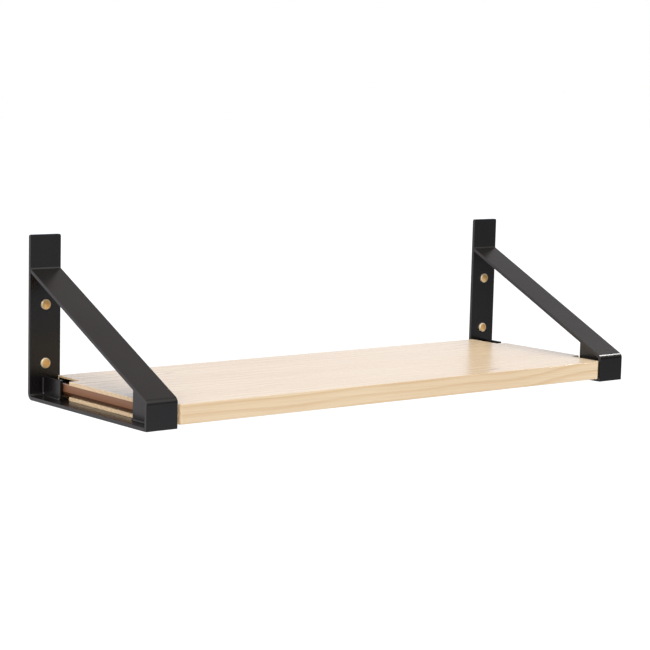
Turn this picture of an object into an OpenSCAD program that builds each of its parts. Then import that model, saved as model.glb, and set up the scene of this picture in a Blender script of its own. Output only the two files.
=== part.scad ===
// Wall shelf: a notched softwood board carried by two welded flat-steel brackets.
// Millimetres. +X runs along the shelf to the right, +Y into the wall, +Z up.
// The origin is the centre of the four wall screws, on the face of the wall.
// Each side profile is drawn as u, the distance from the wall, and v, the height
// above the underside of the bracket's arm. Pieces are drawn for the right-hand
// bracket and mirrored for the left-hand one.

/* [Shelf] */
// Overall width over the outer edges of the brackets
overall_w = 730; // [600:5:1000]

/* [Board] */
// Thickness of the board
board_t = 22; // [20:1:26]
// How far the board reaches over each bracket's arm along its full depth
board_lap = 2.5; // [1:0.5:6]
// Distance of the tongue's rear end from the wall
tongue_rear = 53; // [48:1:70]
// Gap between the tongue's front end and the gusset
tongue_gap = 0.5; // [0.5:0.5:4]
// Gap between the tongue's end and the plane of the ribs
rib_gap = 0.5; // [0.3:0.1:1]
// Gap between the board's front step and the side of the lip
lip_gap = 3; // [0.5:0.5:4]

/* [Key strips] */
// Height of the groove in the tongue's end
groove_h = 13.5; // [10:0.5:14]
// Depth of the groove
groove_d = 4; // [3:0.5:5]
// Depth of the slot that is routed into the side of the rear notch
slot_d = 15; // [2:1:16]
// Height of that slot
slot_h = 17.5; // [12:0.5:17.5]
// Thickness of the wood left behind that slot
slot_wall = 2; // [1:0.5:6]
// Height of the bevel on the strip's lower edge
strip_bevel_h = 5; // [2:0.5:6]
// Depth of the bevel on the strip's lower edge
strip_bevel_d = 2.5; // [1:0.5:2.5]

/* [Brackets] */
// Width of the flat bar
bar_w = 40; // [36:1:44]
// Thickness of the flat bar
bar_t = 4; // [3:0.5:5]
// Height of the back plate
bracket_h = 190; // [170:5:240]
// Depth from the wall to the front of the lip
bracket_d = 245; // [230:5:300]
// Height at which the brace's upper face meets the back plate
brace_top = 151; // [140:1:160]
// Height at which the brace's upper face would meet the front of the lip
brace_foot = 32.5; // [31:0.5:36]
// Inner radius of the bend between back plate and arm
back_bend_r = 4; // [4:0.5:6]
// Inner radius of the bend between lip and brace
lip_bend_r = 3; // [2:0.5:4]
// Radius of the back plate's top corners
corner_r = 2.5; // [1:0.5:6]

/* [Ribs and gussets] */
// Thickness of the ribs and gussets
rib_t = 4; // [3:0.5:5]
// Length of the rear rib along the arm
rib_len = 37; // [30:1:40]
// Length of the front gusset along the arm
gusset_len = 50; // [30:1:60]
// Leg of the fillet welds on their outer sides
weld_leg = 2.5; // [2:0.5:3.5]

/* [Wall screws] */
// Height of the lower wall screws above the underside of the arm
screw_low = 41.5; // [40:0.5:50]
// Vertical distance between the two wall screws of a bracket
screw_pitch = 68; // [60:1:75]
// Diameter of the smooth neck inside the back plate's hole
neck_d = 3.6; // [3:0.2:4]
// Outer diameter of the threaded shank
shank_d = 4.5; // [4:0.5:5]
// Length of the threaded shank and tip behind the back plate
shank_len = 22; // [18:1:40]
// Diameter of the pan head
head_d = 7; // [6:0.5:7]
// Height of the pan head
head_h = 1; // [0.8:0.1:1.1]
// Diameter of the hole in the back plate
plate_hole_d = 5.2; // [5.2:0.1:6]
// Diameter of the cap over the head
cap_d = 12; // [10.5:0.1:13]
// Height of the cap over the back plate
cap_h = 3; // [2.4:0.1:4]
// Radius of the cap's rounded edge
cap_edge = 1.2; // [0.6:0.1:1.4]

/* [Board screws] */
// Diameter of the shank
board_screw_d = 3.5; // [3:0.5:4]
// Length from head to tip
board_screw_len = 16; // [14:1:20]
// Diameter of the countersunk head
sunk_head_d = 7; // [6:0.5:8]
// Height of the countersunk head
sunk_head_h = 1.8; // [1.5:0.1:2.5]
// Distance of the board screws from the inner edge of the arm
board_screw_inset = 8; // [6:0.5:11]
// Distance of the rear board screw from the wall
board_screw_rear = 80; // [75:1:100]
// Distance of the front board screw from the wall
board_screw_front = 160; // [120:1:170]

/* [Hidden] */

$fn = 64;
LEFT = 1;
RIGHT = 0;
steel = "#2b292a";
pine = "#ecdcc8";
walnut = "#916750";
brass = "#cda95e";
zinc = "#a9adb0";
past = 1; // how far a cutting solid runs past the face that it cuts

// Places across the shelf, measured from its middle
inner_x = overall_w / 2 - bar_w;
bar_x = overall_w / 2 - bar_w / 2;
rib_x = bar_x - rib_t / 2;
tongue_x = rib_x - rib_gap;
board_screw_x = inner_x + board_screw_inset;

// Heights of the wall screws, and of the arms' underside below the origin
screw_high = screw_low + screw_pitch;
base_z = -(screw_low + screw_pitch / 2);

// Distances from the wall
lip_u = bracket_d - bar_t;
gusset_u = lip_u - gusset_len;
tongue_front = gusset_u - tongue_gap;
groove_v = bar_t + (board_t - groove_h) / 2;
slot_v = bar_t + (board_t - slot_h) / 2;

// The brace's slope, and the centre of the bend between lip and brace
brace_a = atan((brace_top - brace_foot) / (bracket_d - bar_t));
brace_drop = bar_t / cos(brace_a);
lip_r = lip_bend_r + bar_t;
bend_u = bracket_d - lip_r;
bend_v = brace_foot + lip_r * tan(brace_a) - lip_r / cos(brace_a);

// Screw details
hole_gap = 0.15;
wall_tip = 5;
board_tip = 4;
drive_w = 0.8;
drive_depth = 0.9;
pocket_d = head_d + 0.4;
pocket_h = head_h + 0.2;

// Height of the brace's mid-plane at a distance u from the wall
function brace_mid(u) = brace_foot + (bracket_d - u) * tan(brace_a) - brace_drop / 2;

// Mirrors a piece to the left-hand bracket when side is LEFT
module on_side(side) {
    mirror([side, 0, 0])
        children();
}

// Extrudes a side profile (u, v) from x over a width w
module across(x, w) {
    translate([x + w, 0, base_z])
        rotate([90, 0, -90])
            linear_extrude(w)
                children();
}

// Places a piece at (x, u, v)
module at(x, u, v) {
    translate([x, -u, base_z + v])
        children();
}

// End view of a bend in the flat bar, from angle 0 over the given span
module bend_profile(r_in, span) {
    r_out = r_in + bar_t;
    far = 2 * r_out;
    intersection() {
        difference() {
            circle(r_out);
            circle(r_in);
        }
        polygon([[0, 0], [far, 0], [far, far * tan(span / 2)], [far * cos(span), far * sin(span)]]);
    }
}

// Side profile of the bar that is bent into back plate and arm
module back_strap_profile() {
    r = back_bend_r + bar_t;
    translate([0, r])
        square([bar_t, bracket_h - r]);
    translate([r, 0])
        square([lip_u - r, bar_t]);
    translate([r, r])
        rotate(180)
            bend_profile(back_bend_r, 90);
}

// Side profile of the bar that is bent into lip and brace
module front_strap_profile() {
    c = [bend_u, bend_v];
    n = [sin(brace_a), cos(brace_a)];
    translate([lip_u, 0])
        square([bar_t, bend_v]);
    translate(c)
        bend_profile(lip_bend_r, 90 - brace_a);
    polygon([
        c + lip_bend_r * n, c + lip_r * n,
        [bar_t, brace_top], [bar_t, brace_top - brace_drop]
    ]);
}

// Half of the board's outline, seen from above
module half_outline() {
    translate([0, -lip_u])
        square([inner_x + board_lap, lip_u - bar_t]);
    translate([0, -bracket_d])
        square([inner_x - lip_gap, bar_t + past]);
    translate([0, -tongue_front])
        square([tongue_x, tongue_front - tongue_rear]);
}

module shelf_board() {
    color(pine)
        difference() {
            translate([0, 0, base_z + bar_t])
                linear_extrude(board_t)
                    for (side = [LEFT, RIGHT])
                        mirror([side, 0])
                            half_outline();
            for (side = [LEFT, RIGHT])
                on_side(side) {
                    at(tongue_x - groove_d, tongue_front + past, groove_v)
                        cube([groove_d + past, tongue_front - tongue_rear + 2 * past, groove_h]);
                    at(inner_x + board_lap - slot_d, tongue_rear, slot_v)
                        cube([slot_d + past, tongue_rear - bar_t - slot_wall, slot_h]);
                    for (u = [board_screw_rear, board_screw_front])
                        at(board_screw_x, u, 0)
                            cylinder(d = board_screw_d + 2 * hole_gap, h = board_screw_len + past);
                }
        }
}

// Hardwood strip in the tongue's grooved end, which runs on from the back plate to the lip
module end_strip() {
    color(walnut)
        at(tongue_x - groove_d, bar_t, groove_v)
            rotate([90, 0, 0])
                linear_extrude(lip_u - bar_t)
                    polygon([
                        [0, 0], [groove_d - strip_bevel_d, 0], [groove_d, strip_bevel_h],
                        [groove_d, groove_h], [0, groove_h]
                    ]);
}

// Back plate and arm: one flat bar with one bend, rounded top corners and four holes
module back_strap() {
    color(steel)
        difference() {
            across(bar_x - bar_w / 2, bar_w)
                back_strap_profile();
            for (s = [-1, 1])
                at(bar_x + s * (bar_w / 2 - corner_r), bar_t + past, bracket_h - corner_r)
                    rotate([-90, 0, 0])
                        difference() {
                            translate([s < 0 ? -2 * corner_r : 0, -2 * corner_r, 0])
                                cube([2 * corner_r, 2 * corner_r, bar_t + 2 * past]);
                            cylinder(r = corner_r, h = bar_t + 2 * past);
                        }
            for (v = [screw_low, screw_high])
                at(bar_x, bar_t + past, v)
                    rotate([-90, 0, 0])
                        cylinder(d = plate_hole_d, h = bar_t + 2 * past);
            for (u = [board_screw_rear, board_screw_front])
                at(board_screw_x, u, 0) {
                    cylinder(d = board_screw_d + 2 * hole_gap, h = bar_t + past);
                    sunk_cone(hole_gap, past);
                }
        }
}

// Cone of a countersunk head, grown by a gap and run below the arm by a length
module sunk_cone(gap, below) {
    slope = (sunk_head_d - board_screw_d) / (2 * sunk_head_h);
    translate([0, 0, -below])
        cylinder(
            r1 = sunk_head_d / 2 + gap + below * slope,
            r2 = board_screw_d / 2 + gap,
            h = sunk_head_h + below
        );
}

// Lip and brace: one flat bar with one bend, welded on over the arm's end
module front_strap() {
    color(steel)
        across(bar_x - bar_w / 2, bar_w)
            front_strap_profile();
}

// Upright rib between back plate and arm, with its fillet weld
module rear_rib() {
    color(steel) {
        across(rib_x, rib_t)
            difference() {
                translate([bar_t, bar_t])
                    square([rib_len, board_t]);
                back_strap_profile();
            }
        rear_weld();
    }
}

// Fillet weld on the rib's outer side: up the plate, round the bend and along the arm
module rear_weld() {
    v = bar_t + back_bend_r;
    at(rib_x + rib_t, bar_t, v)
        linear_extrude(board_t - back_bend_r)
            polygon([[0, 0], [weld_leg, 0], [0, -weld_leg]]);
    at(rib_x + rib_t, v, bar_t)
        rotate([90, 0, 0])
            linear_extrude(rib_len - back_bend_r)
                polygon([[0, 0], [weld_leg, 0], [0, weld_leg]]);
    at(rib_x + rib_t, v, v)
        rotate([0, 90, 0])
            rotate_extrude(angle = 90)
                polygon([[back_bend_r - weld_leg, 0], [back_bend_r, 0], [back_bend_r, weld_leg]]);
}

// Upright gusset between arm, lip and brace, with its fillet weld along the arm
module front_gusset() {
    color(steel) {
        across(rib_x, rib_t)
            difference() {
                polygon([
                    [gusset_u, bar_t], [lip_u, bar_t],
                    [lip_u, brace_mid(lip_u)], [gusset_u, brace_mid(gusset_u)]
                ]);
                front_strap_profile();
            }
        at(rib_x + rib_t, gusset_u, bar_t)
            rotate([90, 0, 0])
                linear_extrude(gusset_len)
                    polygon([[0, 0], [weld_leg, 0], [0, weld_leg]]);
    }
}

// Pan-head wood screw through the back plate into the wall
module wall_screw(v) {
    shank_end = bar_t + shank_len - wall_tip;
    color(zinc)
        at(bar_x, bar_t, v)
            rotate([-90, 0, 0])
                difference() {
                    union() {
                        translate([0, 0, -head_h])
                            cylinder(d = head_d, h = head_h);
                        cylinder(d = neck_d, h = bar_t);
                        translate([0, 0, bar_t])
                            cylinder(d = shank_d, h = shank_end - bar_t);
                        translate([0, 0, shank_end])
                            cylinder(d1 = shank_d, d2 = 0, h = wall_tip);
                    }
                    translate([0, 0, -head_h])
                        cross_slot(head_d - 2);
                }
}

// Cross slot for a driver, sunk from the origin towards +Z
module cross_slot(len) {
    for (turn = [0, 90])
        rotate(turn)
            translate([-len / 2, -drive_w / 2, -past])
                cube([len, drive_w, drive_depth + past]);
}

// Brass cap with a rounded edge, pressed over the head of a wall screw
module screw_cap(v) {
    flat_r = cap_d / 2 - cap_edge;
    color(brass)
        at(bar_x, bar_t, v)
            rotate([90, 0, 0])
                rotate_extrude()
                    difference() {
                        union() {
                            square([flat_r, cap_h]);
                            square([flat_r + cap_edge, cap_h - cap_edge]);
                            translate([flat_r, cap_h - cap_edge])
                                intersection() {
                                    circle(cap_edge);
                                    square(cap_edge);
                                }
                        }
                        translate([-past, -past])
                            square([pocket_d / 2 + past, pocket_h + past]);
                    }
}

// Countersunk wood screw, up through the arm into the board
module board_screw(u) {
    shank = board_screw_len - board_tip;
    color(zinc)
        at(board_screw_x, u, 0)
            difference() {
                union() {
                    sunk_cone(0, 0);
                    cylinder(d = board_screw_d, h = shank);
                    translate([0, 0, shank])
                        cylinder(d1 = board_screw_d, d2 = 0, h = board_tip);
                }
                cross_slot(sunk_head_d / 2);
            }
}

shelf_board();
on_side(LEFT) end_strip();  // left_end_strip
on_side(RIGHT) end_strip();  // right_end_strip
on_side(LEFT) back_strap();  // left_back_strap
on_side(LEFT) front_strap();  // left_front_strap
on_side(LEFT) rear_rib();  // left_rear_rib
on_side(LEFT) front_gusset();  // left_front_gusset
on_side(RIGHT) back_strap();  // right_back_strap
on_side(RIGHT) front_strap();  // right_front_strap
on_side(RIGHT) rear_rib();  // right_rear_rib
on_side(RIGHT) front_gusset();  // right_front_gusset
on_side(LEFT) wall_screw(screw_high);  // left_upper_wall_screw
on_side(LEFT) screw_cap(screw_high);  // left_upper_screw_cap
on_side(LEFT) wall_screw(screw_low);  // left_lower_wall_screw
on_side(LEFT) screw_cap(screw_low);  // left_lower_screw_cap
on_side(RIGHT) wall_screw(screw_high);  // right_upper_wall_screw
on_side(RIGHT) screw_cap(screw_high);  // right_upper_screw_cap
on_side(RIGHT) wall_screw(screw_low);  // right_lower_wall_screw
on_side(RIGHT) screw_cap(screw_low);  // right_lower_screw_cap
on_side(LEFT) board_screw(board_screw_rear);  // left_rear_board_screw
on_side(LEFT) board_screw(board_screw_front);  // left_front_board_screw
on_side(RIGHT) board_screw(board_screw_rear);  // right_rear_board_screw
on_side(RIGHT) board_screw(board_screw_front);  // right_front_board_screw
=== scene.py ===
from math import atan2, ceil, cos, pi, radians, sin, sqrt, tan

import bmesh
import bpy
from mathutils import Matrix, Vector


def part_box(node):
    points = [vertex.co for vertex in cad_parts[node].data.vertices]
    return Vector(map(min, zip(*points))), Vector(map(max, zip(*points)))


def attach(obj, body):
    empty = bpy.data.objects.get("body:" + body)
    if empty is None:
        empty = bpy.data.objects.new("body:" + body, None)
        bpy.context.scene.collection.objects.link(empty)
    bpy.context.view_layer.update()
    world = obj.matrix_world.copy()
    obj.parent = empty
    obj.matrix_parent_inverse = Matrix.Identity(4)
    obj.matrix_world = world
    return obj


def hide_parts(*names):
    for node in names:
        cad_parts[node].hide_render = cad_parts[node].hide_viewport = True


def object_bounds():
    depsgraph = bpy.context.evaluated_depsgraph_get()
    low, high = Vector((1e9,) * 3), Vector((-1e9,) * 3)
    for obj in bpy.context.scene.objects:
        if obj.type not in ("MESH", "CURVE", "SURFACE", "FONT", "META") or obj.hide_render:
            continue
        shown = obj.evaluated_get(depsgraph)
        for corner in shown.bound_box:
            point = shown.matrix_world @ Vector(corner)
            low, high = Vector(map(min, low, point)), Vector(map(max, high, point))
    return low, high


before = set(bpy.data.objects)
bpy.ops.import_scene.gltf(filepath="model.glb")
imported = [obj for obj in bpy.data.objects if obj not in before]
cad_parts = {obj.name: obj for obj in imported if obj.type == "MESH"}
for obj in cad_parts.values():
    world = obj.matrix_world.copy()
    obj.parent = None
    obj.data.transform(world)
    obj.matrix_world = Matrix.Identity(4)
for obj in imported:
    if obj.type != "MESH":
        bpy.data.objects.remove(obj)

# A wall shelf: a pine board with grooved, brown-edged tongues, carried by two brackets that are
# welded from black powder-coated flat bar. Every length is in metres, in the frame's own axes.
# The bracket's pieces are built for the right-hand side and mirrored for the left. Their side
# profiles are drawn as (u, v): u is the distance from the wall, v the height over the arm's underside.

CAD_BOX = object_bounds()
MM = 0.001

# ---------------------------------------------------------------- sizes

# Boxes of the right-hand CAD nodes and of the board
BOARD_LO, BOARD_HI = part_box("shelf_board")
STRIP_LO, STRIP_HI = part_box("right_end_strip")
BACK_LO, BACK_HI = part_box("right_back_strap")
FRONT_LO, FRONT_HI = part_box("right_front_strap")
RIB_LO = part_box("right_rear_rib")[0]
GUSSET_LO, GUSSET_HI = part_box("right_front_gusset")
CAP_LO, CAP_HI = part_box("right_upper_screw_cap")

# The bracket's flat bar. A bend is given by its inner radius, and BRACE_FOOT is the height at which
# the brace's upper face would meet the lip's front face.
BAR_T = -BOARD_HI.y
BASE_Z = BACK_LO.z
DEPTH = -FRONT_LO.y
LIP_U = -BACK_LO.y
PLATE_H = BACK_HI.z - BASE_Z
BRACE_TOP = FRONT_HI.z - BASE_Z
BRACE_FOOT = 32.5 * MM
BRACE_TILT = atan2(BRACE_TOP - BRACE_FOOT, DEPTH - BAR_T)
BRACE_DROP = BAR_T / cos(BRACE_TILT)
BACK_BEND = 4 * MM
LIP_BEND = 3 * MM
PLATE_CORNER = 2.5 * MM
BAR_EDGE = 0.55 * MM

# The bends' outer radii and centres. The rear bend's centre is as far from the wall as it is high.
BACK_TURN = BACK_BEND + BAR_T
BACK_CENTRE = (BACK_TURN, BACK_TURN)
LIP_TURN = LIP_BEND + BAR_T
LIP_CENTRE = (DEPTH - LIP_TURN, BRACE_FOOT + LIP_TURN * tan(BRACE_TILT) - LIP_TURN / cos(BRACE_TILT))

# Rib, gusset and their welds
RIB_X = GUSSET_LO.x
RIB_T = 4 * MM
RIB_END = -RIB_LO.y
RIB_EDGE = 0.5 * MM
GUSSET_U = -GUSSET_HI.y
WELD_LEG = 2.4 * MM
SLIM_LEG = 1.2 * MM
WELD_STEP = 0.3 * MM

# The board, with its tongues, grooves and slots
BOARD_T = BOARD_HI.z - BOARD_LO.z
BOARD_MID_Z = (BOARD_LO.z + BOARD_HI.z) / 2
BOARD_LAP_X = BACK_LO.x + 2.5 * MM
BOARD_STEP_X = BACK_LO.x - 3 * MM
BOARD_ARRIS = 1.1 * MM
LEFT_CORNER, RIGHT_CORNER = 3.6 * MM, 2.2 * MM
TONGUE_X = BOARD_HI.x
TONGUE_REAR = 53 * MM
TONGUE_FRONT = GUSSET_U - 0.5 * MM
CUT_EDGE = 0.25 * MM
GROOVE_D = STRIP_HI.x - STRIP_LO.x
STRIP_BEVEL_X, STRIP_BEVEL_Z = 2.5 * MM, 5 * MM
STRIP_EDGE = 0.3 * MM
SLOT_D = 15 * MM
SLOT_H = 17.5 * MM
SLOT_WALL = 2 * MM

# Holes, screws and caps
WALL_HOLE_R = 2.6 * MM
FIXING_HOLE_R = 1.9 * MM
FIXING_SINK_R = 4.65 * MM
FIXING_HEAD_H = 1.8 * MM
PILOT_DEPTH = 13 * MM
CROSS_SIZE = 3.6 * MM
CAP_R = (CAP_HI.x - CAP_LO.x) / 2
CAP_H = CAP_HI.y - CAP_LO.y
POCKET_R = 3.7 * MM
POCKET_H = 1.2 * MM

# Meshes: the angle between an arc's points, the points round turned pieces, and the angle above which
# an edge is sharp
ARC_STEP = radians(5)
HOLE_STEPS, SCREW_STEPS, CAP_STEPS = 48, 32, 64
SHARP = radians(32)

# ---------------------------------------------------------------- node materials


class Graph:
    """A material's node tree around its Principled shader, with a short call for each kind of node."""

    def __init__(self, material):
        self.material = material
        self.material.use_nodes = True
        self.tree = self.material.node_tree
        self.shader = self.tree.nodes["Principled BSDF"]
        self.place = self.add("ShaderNodeTexCoord").outputs["Object"]

    def add(self, kind, inputs=None, **settings):
        node = self.tree.nodes.new(kind)
        for name, value in settings.items():
            setattr(node, name, value)
        for key, value in (inputs or {}).items():
            self.feed(node.inputs[key], value)
        return node

    def feed(self, socket, value):
        if isinstance(value, bpy.types.NodeSocket):
            self.tree.links.new(value, socket)
        else:
            socket.default_value = value

    def shade(self, **inputs):
        """Sets the shader's own sockets, named with underscores for spaces."""
        for name, value in inputs.items():
            self.feed(self.shader.inputs[name.replace("_", " ")], value)

    def math(self, operation, a, b=0.0):
        return self.add("ShaderNodeMath", {0: a, 1: b}, operation=operation).outputs[0]

    def weighted(self, a, share, b):
        """A mean of two values, with share of a and the rest of b."""
        return self.math("ADD", self.math("MULTIPLY", a, share), self.math("MULTIPLY", b, 1 - share))

    def distance(self, a, b):
        """The length of the vector (a, b)."""
        squares = self.math("ADD", self.math("MULTIPLY", a, a), self.math("MULTIPLY", b, b))
        return self.math("SQRT", squares)

    def axes(self, vector):
        """A vector's X, Y and Z."""
        return self.add("ShaderNodeSeparateXYZ", {"Vector": vector}).outputs

    def facing(self):
        """The X, Y and Z of the surface's true normal."""
        return self.axes(self.add("ShaderNodeNewGeometry").outputs["True Normal"])

    def stretched(self, scale, offset=(0, 0, 0)):
        node = self.add("ShaderNodeMapping", {"Vector": self.place, "Scale": scale, "Location": offset})
        return node.outputs[0]

    def noise(self, scale, detail=2.0, roughness=0.5, offset=(0, 0, 0)):
        """Noise from 0 to 1, with its scale given as waves per metre along each axis."""
        vector = self.stretched(scale, offset)
        inputs = {"Vector": vector, "Scale": 1.0, "Detail": detail, "Roughness": roughness}
        return self.add("ShaderNodeTexNoise", inputs).outputs["Fac"]

    def ramp(self, fac, stops, ease="LINEAR"):
        node = self.add("ShaderNodeValToRGB", {"Fac": fac})
        node.color_ramp.interpolation = ease
        elements = node.color_ramp.elements
        while len(elements) < len(stops):
            elements.new(0.5)
        for element, (position, colour) in zip(elements, stops):
            element.position = position
            element.color = (*colour, 1)
        return node.outputs["Color"]

    def span(self, fac, low, high, start=0.0, end=1.0, ease="LINEAR"):
        """Values from start to end mapped to low to high."""
        inputs = {"Value": fac, "From Min": start, "From Max": end, "To Min": low, "To Max": high}
        return self.add("ShaderNodeMapRange", inputs, interpolation_type=ease).outputs[0]

    def mix(self, fac, a, b, blend="MIX"):
        node = self.add("ShaderNodeMix", data_type="RGBA", blend_type=blend)
        self.feed(node.inputs["Factor"], fac)
        self.feed(node.inputs["A"], a if isinstance(a, bpy.types.NodeSocket) else (*a, 1))
        self.feed(node.inputs["B"], b if isinstance(b, bpy.types.NodeSocket) else (*b, 1))
        return node.outputs["Result"]

    def tinted(self, colour, tint):
        return self.mix(1.0, colour, tint, "MULTIPLY")

    def bump(self, height, distance, normal=None):
        inputs = {"Height": height, "Distance": distance, "Strength": 1.0}
        if normal is not None:
            inputs["Normal"] = normal
        return self.add("ShaderNodeBump", inputs).outputs[0]


def new_graph(name):
    return Graph(bpy.data.materials.new(name))


def powder_coat():
    """Satin black powder coat on steel: a fine orange peel, with slightly uneven gloss."""
    g = new_graph("black_steel")
    peel = g.noise((900, 900, 900), 3)
    cloud = g.noise((25, 25, 25), 3)
    grain = g.noise((4000, 4000, 4000), 1)
    g.shade(
        Base_Color=g.ramp(cloud, [(0.3, (0.0045, 0.0040, 0.0040)), (0.7, (0.0065, 0.0058, 0.0057))]),
        Roughness=g.span(g.weighted(cloud, 0.6, peel), 0.22, 0.30),
        Normal=g.bump(grain, 0.012 * MM, g.bump(peel, 0.035 * MM)),
        IOR=1.5,
    )
    return g.material


# One year's ring: how dark the wood is at each share of the ring, from 0 for early to 1 for late wood
YEAR = [(0.0, 0.25), (0.12, 0.0), (0.5, 0.12), (0.93, 1.0), (1.0, 0.25)]
# A knot: how much it is drawn out along the grain, how far and how much it swells the rings round it
# (in knot sizes), the share of its size that is fully dark, its strength and its colour
KNOT_SQUASH, KNOT_REACH, KNOT_SWELL = 0.45, 2.2, 1.6
KNOT_CORE, KNOT_STRENGTH, KNOT_COLOUR = 0.35, 0.75, (0.42, 0.29, 0.19)
END_GRAIN_TINT = (0.97, 0.93, 0.88)


def sawn_wood(
    name, pith, ring, early, late, wander, gloss,
    knots=(), face_figure=1.0, under_shade_tint=(1, 1, 1), relief=0.03 * MM,
):
    """Solid wood as it grows: rings round a pith that runs along X, so each face shows its own cut.

    pith is the pith's y and z, ring the width of a ring, and wander how far the pith strays. A knot is
    its x, y and size. face_figure is how much of the figure shows on faces that look up or down, and
    the under tint darkens the faces that look down, as painted shade.
    """
    g = new_graph(name)
    x, y, z = g.axes(g.place)
    sway_y = g.span(g.noise((1.6, 3, 3), 2, offset=(3, 1, 7)), -wander, wander)
    sway_z = g.span(g.noise((1.9, 3, 3), 2, offset=(9, 4, 2)), -wander, wander)
    radius = g.distance(
        g.math("ADD", g.math("SUBTRACT", y, pith[0]), sway_y),
        g.math("ADD", g.math("SUBTRACT", z, pith[1]), sway_z),
    )
    knot_share = 0.0
    for knot_x, knot_y, size in knots:
        along = g.math("MULTIPLY", g.math("SUBTRACT", x, knot_x), KNOT_SQUASH)
        near = g.distance(along, g.math("SUBTRACT", y, knot_y))
        swell = g.math("EXPONENT", g.math("MULTIPLY", near, -1 / (KNOT_REACH * size)))
        radius = g.math("ADD", radius, g.math("MULTIPLY", swell, KNOT_SWELL * size))
        spot = g.span(near, 1.0, 0.0, KNOT_CORE * size, size, "SMOOTHSTEP")
        knot_share = g.math("MAXIMUM", knot_share, spot)

    ragged = g.span(g.noise((6, 120, 120), 3, 0.6), -0.22, 0.22)
    phase = g.math("FRACT", g.math("ADD", g.math("DIVIDE", radius, ring), ragged))
    late_share = g.ramp(phase, [(at, (level, level, level)) for at, level in YEAR], "EASE")
    patchy = g.span(g.noise((2.2, 14, 14), 2, offset=(5, 5, 5)), 0.45, 1.0, 0.3, 0.7)
    facing = g.facing()
    shown = g.span(g.math("ABSOLUTE", facing[2]), 1.0, face_figure)
    figure = g.math("MULTIPLY", g.math("MULTIPLY", late_share, patchy), shown)
    tone = g.mix(figure, early, late)

    fibre = g.noise((9, 700, 700), 4, 0.65)
    streaks = g.ramp(fibre, [(0.25, (0.955, 0.945, 0.93)), (0.75, (1.02, 1.02, 1.02))])
    tone = g.mix(shown, tone, g.tinted(tone, streaks))
    drift = g.noise((4, 16, 16), 2, offset=(2, 8, 1))
    tone = g.tinted(tone, g.ramp(drift, [(0.3, (0.955, 0.93, 0.90)), (0.7, (1.02, 1.03, 1.03))]))
    if knots:
        tone = g.mix(g.math("MULTIPLY", knot_share, KNOT_STRENGTH), tone, KNOT_COLOUR)
    end_grain = g.span(g.math("ABSOLUTE", facing[0]), 0.0, 1.0, 0.7, 0.95)
    tone = g.mix(end_grain, tone, g.tinted(tone, END_GRAIN_TINT))
    # Painted shade: the faces that look down are darkened by the under tint
    shade_below = g.span(facing[2], 1.0, 0.0, -0.35, -0.2)
    tone = g.mix(shade_below, tone, g.tinted(tone, under_shade_tint))
    g.shade(
        Base_Color=tone,
        Roughness=g.span(fibre, gloss - 0.01, gloss + 0.02),
        Normal=g.bump(g.weighted(fibre, 0.6, late_share), relief),
        IOR=1.5,
    )
    return g.material


def paint_shade_black(material, low, high):
    """Paints shade into the wood inside a box on the right that is mirrored to the left, turning it near
    black.
    """
    g = Graph(material)
    axes = g.axes(g.place)
    inside = 1.0
    for value, start, end in zip((g.math("ABSOLUTE", axes[0]), axes[1], axes[2]), low, high):
        within = g.math("COMPARE", value, (start + end) / 2)
        within.node.inputs[2].default_value = (end - start) / 2
        inside = g.math("MULTIPLY", within, inside)
    colour = g.shader.inputs["Base Color"]
    # Painted shade: near black inside the box
    g.feed(colour, g.mix(inside, colour.links[0].from_socket, (0.012, 0.009, 0.007)))


def metal(name, dark, light, roughness, scratch, metallic, rim, rim_highlight_metallic):
    """Bare metal with cloudy tarnish and fine scratches, with a painted highlight in the rim colour where it
    curves away.

    roughness is the smoothest and the roughest, scratch the scratches' waves per metre, and rim the painted
    highlight's colour.
    """
    g = new_graph(name)
    cloud = g.noise((420, 420, 420), 3)
    scratches = g.noise(scratch, 3, 0.6)
    # Painted highlight: lighter and less metallic where the surface turns away from the front
    rim_highlight = g.span(g.math("ABSOLUTE", g.facing()[1]), 1.0, 0.0, 0.88, 0.99)
    g.shade(
        Base_Color=g.mix(rim_highlight, g.ramp(cloud, [(0.3, dark), (0.7, light)]), rim),
        Roughness=g.span(g.weighted(cloud, 0.5, scratches), *roughness),
        Normal=g.bump(scratches, 0.008 * MM),
        Metallic=metallic if rim_highlight_metallic == metallic else g.span(rim_highlight, metallic, rim_highlight_metallic),
    )
    return g.material


STEEL = powder_coat()
PINE = sawn_wood(
    "pine", pith=(-0.085, BASE_Z - 0.075), ring=5.2 * MM, early=(0.79, 0.63, 0.43),
    late=(0.70, 0.505, 0.30), wander=0.016, gloss=0.27,
    knots=[(0.159, -0.224, 5 * MM), (-0.207, -0.054, 4 * MM)], face_figure=0.22, relief=0.008 * MM,
)
# The strip's under tint is painted shade on its bevelled lower edge, which faces down
HARDWOOD = sawn_wood(
    "hardwood", pith=(0.05, BASE_Z - 0.03), ring=1.9 * MM, early=(0.285, 0.132, 0.064),
    late=(0.18, 0.078, 0.038), wander=0.006, gloss=0.36, under_shade_tint=(0.26, 0.20, 0.11),
)
# The rim colours are painted highlight, where the metal turns away from the front
BRASS = metal(
    "brass", dark=(0.85, 0.50, 0.17), light=(0.96, 0.63, 0.26), roughness=(0.26, 0.34),
    scratch=(900, 300, 300), metallic=0.7, rim=(0.95, 0.83, 0.62), rim_highlight_metallic=0.4,
)
ZINC = metal(
    "screw_steel", dark=(0.52, 0.52, 0.50), light=(0.66, 0.66, 0.65), roughness=(0.28, 0.42),
    scratch=(900, 900, 300), metallic=1.0, rim=(0.72, 0.72, 0.71), rim_highlight_metallic=1.0,
)

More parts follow.
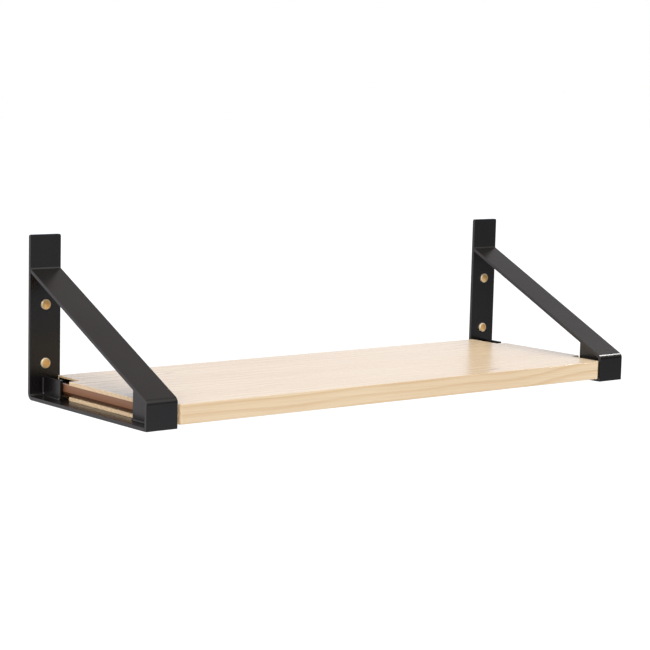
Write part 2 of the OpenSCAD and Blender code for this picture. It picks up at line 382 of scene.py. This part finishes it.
# Painted shade: the rear slots' walls are painted near black for the shade in their depth, but not the
# notch's side that they open from
SKIN = 0.1 * MM
paint_shade_black(
    PINE, (BOARD_LAP_X - SLOT_D - SKIN, -TONGUE_REAR - SKIN, BOARD_MID_Z - SLOT_H / 2 - SKIN),
    (BOARD_LAP_X - SKIN, -BAR_T - SLOT_WALL + SKIN, BOARD_MID_Z + SLOT_H / 2 + SKIN),
)

# ---------------------------------------------------------------- mesh helpers


def side_view(points, x):
    """Side-profile points (u, v) as points in the frame, at a given x."""
    return [Vector((x, -u, BASE_Z + v)) for u, v in points]


def arc(centre, radius, start, end):
    """Points along an arc in a profile, ends included. Angles in radians, from +u towards +v."""
    steps = max(1, ceil(abs(end - start) / ARC_STEP))
    turns = [start + (end - start) * i / steps for i in range(steps + 1)]
    return [(centre[0] + radius * cos(t), centre[1] + radius * sin(t)) for t in turns]


def loft(rings):
    """A solid skin through rings of points, each ring with the same number of points."""
    bm = bmesh.new()
    rows = [[bm.verts.new(p) for p in ring] for ring in rings]
    for row, following in zip(rows, rows[1:]):
        for i in range(len(row)):
            j = (i + 1) % len(row)
            bm.faces.new((row[i], row[j], following[j], following[i]))
    bm.faces.new(rows[0][::-1])
    bm.faces.new(rows[-1])
    bmesh.ops.recalc_face_normals(bm, faces=bm.faces)
    return bm


def plate(profile, x, width):
    """A solid of constant side profile, from x over a width."""
    return loft([side_view(profile, x), side_view(profile, x + width)])


def round_edges(bm, radius, segments, wanted=lambda edge: True):
    """Rounds the sharp edges that are wanted."""
    edges = [e for e in bm.edges if e.is_manifold and e.calc_face_angle() > SHARP and wanted(e)]
    bmesh.ops.bevel(
        bm, geom=edges, offset=radius, offset_type="OFFSET", segments=segments, profile=0.5,
        affect="EDGES", clamp_overlap=True,
    )
    return bm


def as_object(bm):
    """Turns a mesh under construction into an object, and frees it."""
    mesh = bpy.data.meshes.new("temporary")
    bm.to_mesh(mesh)
    bm.free()
    obj = bpy.data.objects.new("temporary", mesh)
    bpy.context.scene.collection.objects.link(obj)
    return obj


def evaluated(obj):
    """The object's mesh with its modifiers applied."""
    bpy.context.view_layer.update()
    return bpy.data.meshes.new_from_object(obj.evaluated_get(bpy.context.evaluated_depsgraph_get()))


def cut(bm, cutters):
    """Cuts other solids out of a solid."""
    body = as_object(bm)
    tools = [as_object(cutter) for cutter in cutters]
    for tool in tools:
        modifier = body.modifiers.new("cut", "BOOLEAN")
        modifier.operation = "DIFFERENCE"
        modifier.solver = "EXACT"
        modifier.object = tool
    result = bmesh.new()
    result.from_mesh(evaluated(body))
    for obj in [body, *tools]:
        bpy.data.objects.remove(obj)
    bmesh.ops.remove_doubles(result, verts=result.verts, dist=0.001 * MM)
    return result


# A thread's flanks rise this steeply, and it fades where the shank is thinner than so many thread depths
FLANK_SLOPE = 2.2
THREAD_FADE = 3


def turned(profile, steps=HOLE_STEPS, thread=None):
    """A solid turned about +Z from (z, radius) points. A thread is (first z, last z, pitch, depth)."""
    bm = bmesh.new()
    rows = []
    for z, radius in profile:
        if radius == 0:
            rows.append([bm.verts.new((0, 0, z))])
            continue
        row = []
        for i in range(steps):
            turn = i / steps
            r = radius
            if thread and thread[0] <= z <= thread[1]:
                pitch, depth = thread[2:]
                flank = abs(2 * ((z / pitch - turn) % 1) - 1)
                r -= depth * min(1, FLANK_SLOPE * flank) * min(1, radius / (THREAD_FADE * depth))
            row.append(bm.verts.new((r * cos(2 * pi * turn), r * sin(2 * pi * turn), z)))
        rows.append(row)
    for low, high in zip(rows, rows[1:]):
        for i in range(steps):
            j = (i + 1) % steps
            if len(low) == 1:
                bm.faces.new((low[0], high[j], high[i]))
            elif len(high) == 1:
                bm.faces.new((low[i], low[j], high[0]))
            else:
                bm.faces.new((low[i], low[j], high[j], high[i]))
    bmesh.ops.recalc_face_normals(bm, faces=bm.faces)
    return bm


def moved(bm, matrix):
    """A copy of a mesh, moved by a matrix."""
    twin = bm.copy()
    bmesh.ops.transform(twin, matrix=matrix, verts=twin.verts)
    if matrix.determinant() < 0:
        bmesh.ops.reverse_faces(twin, faces=twin.faces)
    return twin


def add_piece(name, bm, material, slot, *nodes):
    """Makes a finished mesh a piece of the shelf that stands for the given CAD nodes."""
    for face in bm.faces:
        face.smooth = True
    for edge in bm.edges:
        edge.smooth = edge.is_manifold and edge.calc_face_angle() < SHARP
    obj = as_object(bm)
    obj.name = name
    weight = obj.modifiers.new("even shading", "WEIGHTED_NORMAL")
    weight.keep_sharp = True
    mesh = evaluated(obj)
    obj.modifiers.clear()
    obj.data = mesh
    mesh.name = name
    mesh.materials.clear()
    mesh.materials.append(material)
    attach(obj, "root")
    if nodes:
        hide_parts(*nodes)


MIRROR = {"right": Matrix.Identity(4), "left": Matrix.Scale(-1, 4, (1, 0, 0))}


def add_pair(name, bm, material, slot, node=None):
    """The right-hand piece and its mirror image. node is the CAD nodes' name after left_ or right_."""
    for side, matrix in MIRROR.items():
        nodes = [f"{side}_{node}"] if node else []
        add_piece(f"{side}_{name}", moved(bm, matrix), material, slot, *nodes)
    bm.free()


# ---------------------------------------------------------------- brackets


def back_strap():
    """Back plate and arm: one bar with a bend at the heel, rounded top corners and four holes."""
    profile = [
        (0, PLATE_H), *arc(BACK_CENTRE, BACK_TURN, pi, 1.5 * pi), (LIP_U, 0),
        (LIP_U, BAR_T), *arc(BACK_CENTRE, BACK_BEND, 1.5 * pi, pi), (BAR_T, PLATE_H),
    ]
    bm = plate(profile, BACK_LO.x, BACK_HI.x - BACK_LO.x)

    def top_corner(edge):
        a, b = (v.co for v in edge.verts)
        return abs(a.y - b.y) > 0.5 * BAR_T and min(a.z, b.z) > BACK_HI.z - MM and abs(a.x - b.x) < MM

    round_edges(bm, PLATE_CORNER, 8, top_corner)
    drills = [wall_drill(row) for row in ("upper", "lower")]
    drills += [board_drill(row) for row in ("rear", "front")]
    bm = cut(bm, drills)
    return round_edges(bm, BAR_EDGE, 3)


def centre_of(node):
    low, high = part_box(node)
    return (low + high) / 2


def wall_drill(row):
    """The drill that makes a wall screw's hole."""
    spot = centre_of(f"right_{row}_wall_screw")
    drill = turned([(-2 * BAR_T, 0), (-2 * BAR_T, WALL_HOLE_R), (BAR_T, WALL_HOLE_R), (BAR_T, 0)])
    return moved(drill, Matrix.Translation((spot.x, 0, spot.z)) @ Matrix.Rotation(-pi / 2, 4, "X"))


def board_drill(row):
    """The drill that makes a board screw's hole in the arm. Its countersink starts 1 mm below the arm."""
    spot = centre_of(f"right_{row}_board_screw")
    drill = turned([
        (-MM, 0), (-MM, FIXING_SINK_R), (FIXING_HEAD_H, FIXING_HOLE_R),
        (2 * BAR_T, FIXING_HOLE_R), (2 * BAR_T, 0),
    ])
    return moved(drill, Matrix.Translation((spot.x, spot.y, BASE_Z)))


def front_strap():
    """Lip and brace: one bar with a bend at the front."""
    leaning = pi / 2 - BRACE_TILT
    profile = [
        (DEPTH, 0), *arc(LIP_CENTRE, LIP_TURN, 0, leaning), (BAR_T, BRACE_TOP),
        (BAR_T, BRACE_TOP - BRACE_DROP), *arc(LIP_CENTRE, LIP_BEND, leaning, 0), (LIP_U, 0),
    ]
    return round_edges(plate(profile, FRONT_LO.x, FRONT_HI.x - FRONT_LO.x), BAR_EDGE, 3)


def rear_rib():
    """Upright rib in the rear corner, its lower corner following the bend."""
    profile = [
        (BAR_T, BAR_T + BOARD_T), *arc(BACK_CENTRE, BACK_BEND, pi, 1.5 * pi),
        (RIB_END, BAR_T), (RIB_END, BAR_T + BOARD_T),
    ]
    return round_edges(plate(profile, RIB_X, RIB_T), RIB_EDGE, 3)


def front_gusset():
    """Upright gusset between arm, lip and brace, its upper front corner following the bend."""
    under_brace = BRACE_FOOT + (DEPTH - GUSSET_U) * tan(BRACE_TILT) - BRACE_DROP
    profile = [
        (GUSSET_U, BAR_T), (LIP_U, BAR_T), *arc(LIP_CENTRE, LIP_BEND, 0, pi / 2 - BRACE_TILT),
        (GUSSET_U, under_brace),
    ]
    return round_edges(plate(profile, RIB_X, RIB_T), RIB_EDGE, 3)


# A weld bead: points across it, how far its root goes into the corner, its ripples' pitch (in legs) and
# height, how much it bulges from flat (0) to round (1), and the share of its size that is left at its
# ends, which taper over half a leg
BEAD_POINTS, BEAD_ROOT = 9, 0.25 * MM
RIPPLE_PITCH, RIPPLE_HEIGHT = 0.62, 0.07
BEAD_BULGE, BEAD_END, BEAD_TAPER = 0.28, 0.35, 0.5


def weld_bead(path, legs, first, second):
    """A fillet weld laid along a path of points: rippled, a little convex, with run-out ends.

    legs is the leg at each point. first and second give the directions of the two metal faces there,
    away from the corner.
    """
    lengths = [0.0]
    for a, b in zip(path, path[1:]):
        lengths.append(lengths[-1] + (b - a).length)
    total = lengths[-1]
    pitch = RIPPLE_PITCH * max(legs)
    last = BEAD_POINTS - 1
    rings = []
    for point, s, leg, a, b in zip(path, lengths, legs, first, second):
        run_out = min(1, min(s, total - s) / (BEAD_TAPER * leg))
        size = leg * (BEAD_END + (1 - BEAD_END) * sqrt(1 - (1 - run_out) ** 2))
        ring = [point - (a + b) * BEAD_ROOT]
        for i in range(BEAD_POINTS):
            turn = i / last * pi / 2
            flat = 1 / (cos(turn) + sin(turn))
            lag = 0.5 * sin(2 * turn)
            ripple = 1 + RIPPLE_HEIGHT * abs(sin(pi * (s / pitch + lag)))
            reach = size * ((1 - BEAD_BULGE) * flat + BEAD_BULGE) * (ripple if 0 < i < last else 1)
            ring.append(point + a * (reach * cos(turn)) + b * (reach * sin(turn)))
        rings.append(ring)
    return loft(rings)


def steps_between(a, b, step):
    count = ceil((b - a).length / step)
    return [a.lerp(b, i / count) for i in range(count + 1)]


OUTWARD = Vector((1, 0, 0))
FRONTWARD = Vector((0, -1, 0))
UPWARD = Vector((0, 0, 1))


def rear_weld():
    """The rib's weld: slim down the back plate, swelling round the bend, then out along the arm."""
    x = RIB_X + RIB_T
    down = steps_between(*side_view([(BAR_T, BAR_T + BOARD_T - MM), (BAR_T, BACK_TURN)], x), WELD_STEP)
    out = steps_between(*side_view([(BACK_TURN, BAR_T), (RIB_END, BAR_T)], x), WELD_STEP)
    turns = [pi + i * pi / 20 for i in range(1, 10)]
    bend = [(BACK_TURN + BACK_BEND * cos(t), BACK_TURN + BACK_BEND * sin(t)) for t in turns]
    inward = [FRONTWARD] * len(down) + [Vector((0, cos(t), -sin(t))) for t in turns] + [UPWARD] * len(out)
    path = down + side_view(bend, x) + out
    swell = [i / len(turns) for i in range(len(turns))]
    shares = [0.0] * len(down) + swell + [1.0] * len(out)
    legs = [SLIM_LEG + (WELD_LEG - SLIM_LEG) * share for share in shares]
    return weld_bead(path, legs, [OUTWARD] * len(path), inward)


def gusset_weld():
    """The gusset's weld along the arm."""
    path = steps_between(*side_view([(GUSSET_U, BAR_T), (LIP_U, BAR_T)], RIB_X + RIB_T), WELD_STEP)
    return weld_bead(path, [WELD_LEG] * len(path), [OUTWARD] * len(path), [UPWARD] * len(path))


def brace_weld():
    """The slim weld across the top of the brace, where it meets the back plate."""
    (start,) = side_view([(BAR_T, BRACE_TOP)], FRONT_LO.x + BAR_EDGE)
    path = steps_between(start, start + OUTWARD * (FRONT_HI.x - FRONT_LO.x - 2 * BAR_EDGE), WELD_STEP)
    down_brace = Vector((0, -cos(BRACE_TILT), -sin(BRACE_TILT)))
    return weld_bead(path, [SLIM_LEG] * len(path), [UPWARD] * len(path), [down_brace] * len(path))


add_pair("back_plate_and_arm", back_strap(), STEEL, "black_steel", "back_strap")
add_pair("lip_and_brace", front_strap(), STEEL, "black_steel", "front_strap")
add_pair("rib", rear_rib(), STEEL, "black_steel", "rear_rib")
add_pair("gusset", front_gusset(), STEEL, "black_steel", "front_gusset")
add_pair("rib_weld", rear_weld(), STEEL, "black_steel")
add_pair("gusset_weld", gusset_weld(), STEEL, "black_steel")
add_pair("brace_weld", brace_weld(), STEEL, "black_steel")

# ---------------------------------------------------------------- board and end strips


def block(low, high):
    """A rectangular solid, used as a cutter."""
    corners = [(low[0], low[1]), (high[0], low[1]), (high[0], high[1]), (low[0], high[1])]
    return loft([[Vector((x, y, z)) for x, y in corners] for z in (low[2], high[2])])


def board_cutters():
    """What is cut out of the board: a groove in each tongue, a slot in each rear notch, four pilot holes."""
    cutters = []
    slot_z = BOARD_MID_Z - SLOT_H / 2
    for side in (-1, 1):
        start, end = sorted((side * (TONGUE_X - GROOVE_D), side * (TONGUE_X + BAR_T)))
        low = (start, -TONGUE_FRONT - BAR_T, STRIP_LO.z)
        high = (end, -TONGUE_REAR + BAR_T, STRIP_HI.z)
        cutters.append(block(low, high))
        start, end = sorted((side * (BOARD_LAP_X - SLOT_D), side * (BOARD_LAP_X + BAR_T)))
        low = (start, -TONGUE_REAR, slot_z)
        high = (end, -BAR_T - SLOT_WALL, slot_z + SLOT_H)
        cutters.append(block(low, high))
    pilot = [(-BAR_T, 0), (-BAR_T, FIXING_HOLE_R), (PILOT_DEPTH, FIXING_HOLE_R), (PILOT_DEPTH, 0)]
    for side in ("left", "right"):
        for row in ("rear", "front"):
            spot = centre_of(f"{side}_{row}_board_screw")
            cutters.append(moved(turned(pilot), Matrix.Translation((spot.x, spot.y, BOARD_LO.z))))
    return cutters


def board():
    """The board: notched round the ribs and gussets, stepped at the front, grooved in its ends."""
    half = [
        (BOARD_LAP_X, -BAR_T), (BOARD_LAP_X, -TONGUE_REAR), (TONGUE_X, -TONGUE_REAR),
        (TONGUE_X, -TONGUE_FRONT), (BOARD_LAP_X, -TONGUE_FRONT), (BOARD_LAP_X, -LIP_U),
        (BOARD_STEP_X, -LIP_U), (BOARD_STEP_X, -DEPTH),
    ]
    outline = half + [(-x, y) for x, y in reversed(half)]
    bm = loft([[Vector((x, y, z)) for x, y in outline] for z in (BOARD_LO.z, BOARD_HI.z)])

    def front_corner(side):
        def wanted(edge):
            a, b = (v.co for v in edge.verts)
            return abs(a.z - b.z) > BAR_T and max(a.y, b.y) < -LIP_U - MM and a.x * side > 0
        return wanted

    round_edges(bm, LEFT_CORNER, 8, front_corner(-1))
    round_edges(bm, RIGHT_CORNER, 6, front_corner(1))
    round_edges(bm, BOARD_ARRIS, 4)
    return round_edges(cut(bm, board_cutters()), CUT_EDGE, 2)


def end_strip():
    """The brown strip in the groove, with its bevelled lower edge."""
    section = [
        (STRIP_LO.x, STRIP_LO.z), (STRIP_HI.x - STRIP_BEVEL_X, STRIP_LO.z),
        (STRIP_HI.x, STRIP_LO.z + STRIP_BEVEL_Z), (STRIP_HI.x, STRIP_HI.z), (STRIP_LO.x, STRIP_HI.z),
    ]
    bm = loft([[Vector((x, y, z)) for x, z in section] for y in (STRIP_LO.y, STRIP_HI.y)])
    return round_edges(bm, STRIP_EDGE, 2)


add_piece("board", board(), PINE, "pine", "shelf_board")
add_pair("brown_strip", end_strip(), HARDWOOD, "hardwood", "end_strip")

# ---------------------------------------------------------------- screws and caps


def button_cap():
    """A brass cap, standing on z = 0: a rounded rim, a shallow crown and the screw head's pocket."""
    foot, edge, rise, face_steps = 0.25 * MM, 1.1 * MM, 0.35 * MM, 8
    rim = (CAP_H - rise - edge, CAP_R - edge)
    profile = [(POCKET_H, 0), (POCKET_H, POCKET_R), (0, POCKET_R)]
    profile += arc((foot, CAP_R - foot), foot, pi, pi / 2)
    profile += arc(rim, edge, pi / 2, radians(-25))
    rim_z, reach = profile[-1]
    shares = [i / face_steps for i in range(face_steps - 1, -1, -1)]
    profile += [(CAP_H + (rim_z - CAP_H) * share ** 2, reach * share) for share in shares]
    return turned(profile, CAP_STEPS)


def cross_recess(depth):
    """The cutter of a cross recess: two tapered blades that go down from z = 0."""
    half_t = CROSS_SIZE / 9
    rings = []
    for z, reach in ((-0.2 * MM, CROSS_SIZE / 2), (depth, CROSS_SIZE / 5)):
        corners = [(-reach, -half_t), (reach, -half_t), (reach, half_t), (-reach, half_t)]
        rings.append([Vector((x, y, z)) for x, y in corners])
    return [moved(loft(rings), Matrix.Rotation(turn, 4, "Z")) for turn in (0, pi / 2)]


def threaded(start, end, tip, radius, pitch):
    """Profile rows of a threaded shank from start to end, with a tapering tip."""
    step = pitch / 8
    count = ceil((end - start) / step)
    rows = []
    for i in range(count):
        z = start + (end - start) * i / count
        taper = min(1, (end - z) / tip)
        rows.append((z, radius * taper ** 0.8))
    return [*rows, (end, 0)]


def wall_screw():
    """Pan-head screw along +Z: the head in front of z = 0, then a neck and a coarse thread."""
    head_r, head_h, head_edge, neck_r = 3.5 * MM, 1 * MM, 0.4 * MM, 1.8 * MM
    reach, tip, plain_tip = BAR_T + 22 * MM, 5 * MM, 0.4 * MM
    thread_r, pitch, depth = 2.25 * MM, 1.8 * MM, 0.6 * MM
    rows = [
        (-head_h, 0), (-head_h, head_r - head_edge), (-head_h + head_edge, head_r), (0, head_r),
        (0, neck_r), (BAR_T, neck_r), *threaded(BAR_T, reach, tip, thread_r, pitch),
    ]
    body = turned(rows, SCREW_STEPS, (BAR_T, reach - plain_tip, pitch, depth))
    recess = [moved(blade, Matrix.Translation((0, 0, -head_h))) for blade in cross_recess(0.8 * MM)]
    return cut(body, recess)


def board_screw():
    """Countersunk screw along +Z from the head's face at z = 0."""
    head_r, head_bevel, head_edge, neck_r, neck_end = 3.5 * MM, 0.1 * MM, 0.25 * MM, 1.75 * MM, 3 * MM
    reach, tip, plain_tip = 16 * MM, 4 * MM, 0.4 * MM
    pitch, depth = 1.5 * MM, 0.5 * MM
    rows = [
        (0, 0), (0, head_r - head_bevel), (head_edge, head_r), (FIXING_HEAD_H, neck_r),
        *threaded(neck_end, reach, tip, neck_r, pitch),
    ]
    body = turned(rows, SCREW_STEPS, (neck_end + 0.1 * MM, reach - plain_tip, pitch, depth))
    return cut(body, cross_recess(1.3 * MM))


cap, screw, fixing = button_cap(), wall_screw(), board_screw()
for side in ("left", "right"):
    for row in ("upper", "lower"):
        spot = centre_of(f"{side}_{row}_wall_screw")
        seat = Matrix.Translation((spot.x, -BAR_T, spot.z)) @ Matrix.Rotation(-pi / 2, 4, "X")
        add_piece(f"{side}_{row}_screw", moved(screw, seat), ZINC, "screw_steel", f"{side}_{row}_wall_screw")
        seat = Matrix.Translation((spot.x, -BAR_T, spot.z)) @ Matrix.Rotation(pi / 2, 4, "X")
        add_piece(f"{side}_{row}_cap", moved(cap, seat), BRASS, "brass", f"{side}_{row}_screw_cap")
    for row in ("rear", "front"):
        node = f"{side}_{row}_board_screw"
        spot = centre_of(node)
        seat = Matrix.Translation((spot.x, spot.y, BASE_Z))
        add_piece(f"{side}_{row}_fixing_screw", moved(fixing, seat), ZINC, "screw_steel", node)
for bm in (cap, screw, fixing):
    bm.free()

# ---------------------------------------------------------------- studio

BASE_LIGHT = (0.05, 0.05, 0.05)
# Each lobe: direction, angle of full strength, angle where it has faded out, colour times strength
LOBES = [
    ((-0.82, -0.1, 0.56), 28, 66, (1.34, 1.32, 1.30)),
    ((-0.15, -0.70, 0.70), 24, 56, (1.58, 1.55, 1.52)),
    ((0.64, 0.77, 0), 24, 44, (0.48, 0.65, 0.90)),
    ((-0.5, 0.86, -0.1), 20, 46, (0.9, 0.86, 0.9)),
    ((0.2, -0.6, -0.77), 20, 60, (0.98, 1.0, 1.08)),
    ((0.3, 0.1, 0.95), 36, 72, (0.46, 0.41, 0.38)),
]

FLOOR_DROP = 0.75
FLOOR_REACH = 40

CAMERA_PLACE = (-1.4897, -1.9311, 0.2963)
CAMERA_AZIMUTH, CAMERA_ELEVATION, CAMERA_ROLL = radians(38.95), radians(7.15), radians(1.42)
CAMERA_LENS = 107.83
CAMERA_CLIP = 100


def studio_world():
    """White surroundings for the eye; for light and reflections, a sum of soft lobes over a dim base."""
    world = bpy.data.worlds.new("studio")
    world.use_nodes = True
    tree = world.node_tree
    tree.nodes.clear()

    def node(kind, *inputs, **settings):
        made = tree.nodes.new(kind)
        for name, value in settings.items():
            setattr(made, name, value)
        for socket, value in zip(made.inputs, inputs):
            if isinstance(value, bpy.types.NodeSocket):
                tree.links.new(value, socket)
            else:
                socket.default_value = value
        return made.outputs

    direction = node("ShaderNodeTexCoord")["Generated"]
    total = Vector(BASE_LIGHT)
    for axis, inner, outer, colour in LOBES:
        axis = Vector(axis).normalized()
        near = node("ShaderNodeVectorMath", direction, axis, operation="DOT_PRODUCT")["Value"]
        edges = (cos(radians(outer)), cos(radians(inner)), 0.0, 1.0)
        fade = node("ShaderNodeMapRange", near, *edges, interpolation_type="SMOOTHSTEP")["Result"]
        total = node("ShaderNodeVectorMath", fade, colour, total, operation="MULTIPLY_ADD")["Vector"]
    seen = node("ShaderNodeLightPath")["Is Camera Ray"]
    mix = tree.nodes.new("ShaderNodeMix")
    mix.data_type = "RGBA"
    tree.links.new(seen, mix.inputs["Factor"])
    tree.links.new(total, mix.inputs["A"])
    mix.inputs["B"].default_value = (1, 1, 1, 1)
    background = node("ShaderNodeBackground", mix.outputs["Result"])["Background"]
    node("ShaderNodeOutputWorld", background)
    bpy.context.scene.world = world


def gloss_lamp(name, place, target, size, power, spread):
    """A square lamp that shows only in gloss, with its light kept within a narrow cone."""
    light = bpy.data.lights.new(name, "AREA")
    light.shape = "SQUARE"
    light.size = size
    light.energy = power
    light.spread = spread
    obj = bpy.data.objects.new(name, light)
    obj.location = place
    obj.rotation_euler = (Vector(target) - Vector(place)).to_track_quat("-Z", "Y").to_euler()
    obj.visible_diffuse = False
    bpy.context.scene.collection.objects.link(obj)


def add_floor():
    """A pale floor well below the shelf, wide enough to reach the horizon."""
    corners = [(x * FLOOR_REACH, y * FLOOR_REACH, 0) for x, y in ((-1, -1), (1, -1), (1, 1), (-1, 1))]
    mesh = bpy.data.meshes.new("floor")
    mesh.from_pydata(corners, [], [(0, 1, 2, 3)])
    floor = bpy.data.objects.new("floor", mesh)
    floor.location = (0, 0, CAD_BOX[0][2] - FLOOR_DROP)
    g = new_graph("pale_floor")
    g.shade(Base_Color=(0.1, 0.1, 0.1, 1), Roughness=0.9, Emission_Color=(1, 1, 1, 1), Emission_Strength=0.94)
    mesh.materials.append(g.material)
    bpy.context.scene.collection.objects.link(floor)
    floor.visible_glossy = False
    floor.visible_diffuse = False


def add_camera():
    """The viewing angle: 39 degrees to the left of the shelf's front, a little above it."""
    camera = bpy.data.objects.new("camera", bpy.data.cameras.new("camera"))
    turn = Matrix.Rotation(-CAMERA_AZIMUTH, 4, "Z") @ Matrix.Rotation(pi / 2 - CAMERA_ELEVATION, 4, "X")
    camera.matrix_world = Matrix.Translation(CAMERA_PLACE) @ turn @ Matrix.Rotation(CAMERA_ROLL, 4, "Z")
    camera.data.lens = CAMERA_LENS
    camera.data.clip_end = CAMERA_CLIP
    bpy.context.scene.collection.objects.link(camera)
    bpy.context.scene.camera = camera


studio_world()
# The highlight along the right-hand bend, between lip and brace
gloss_lamp("edge", (0.908, -0.332, 0.564), (0.345, -0.24, 0), size=0.25, power=0.09, spread=radians(18))
add_floor()
add_camera()
bpy.context.scene.view_settings.view_transform = "Standard"
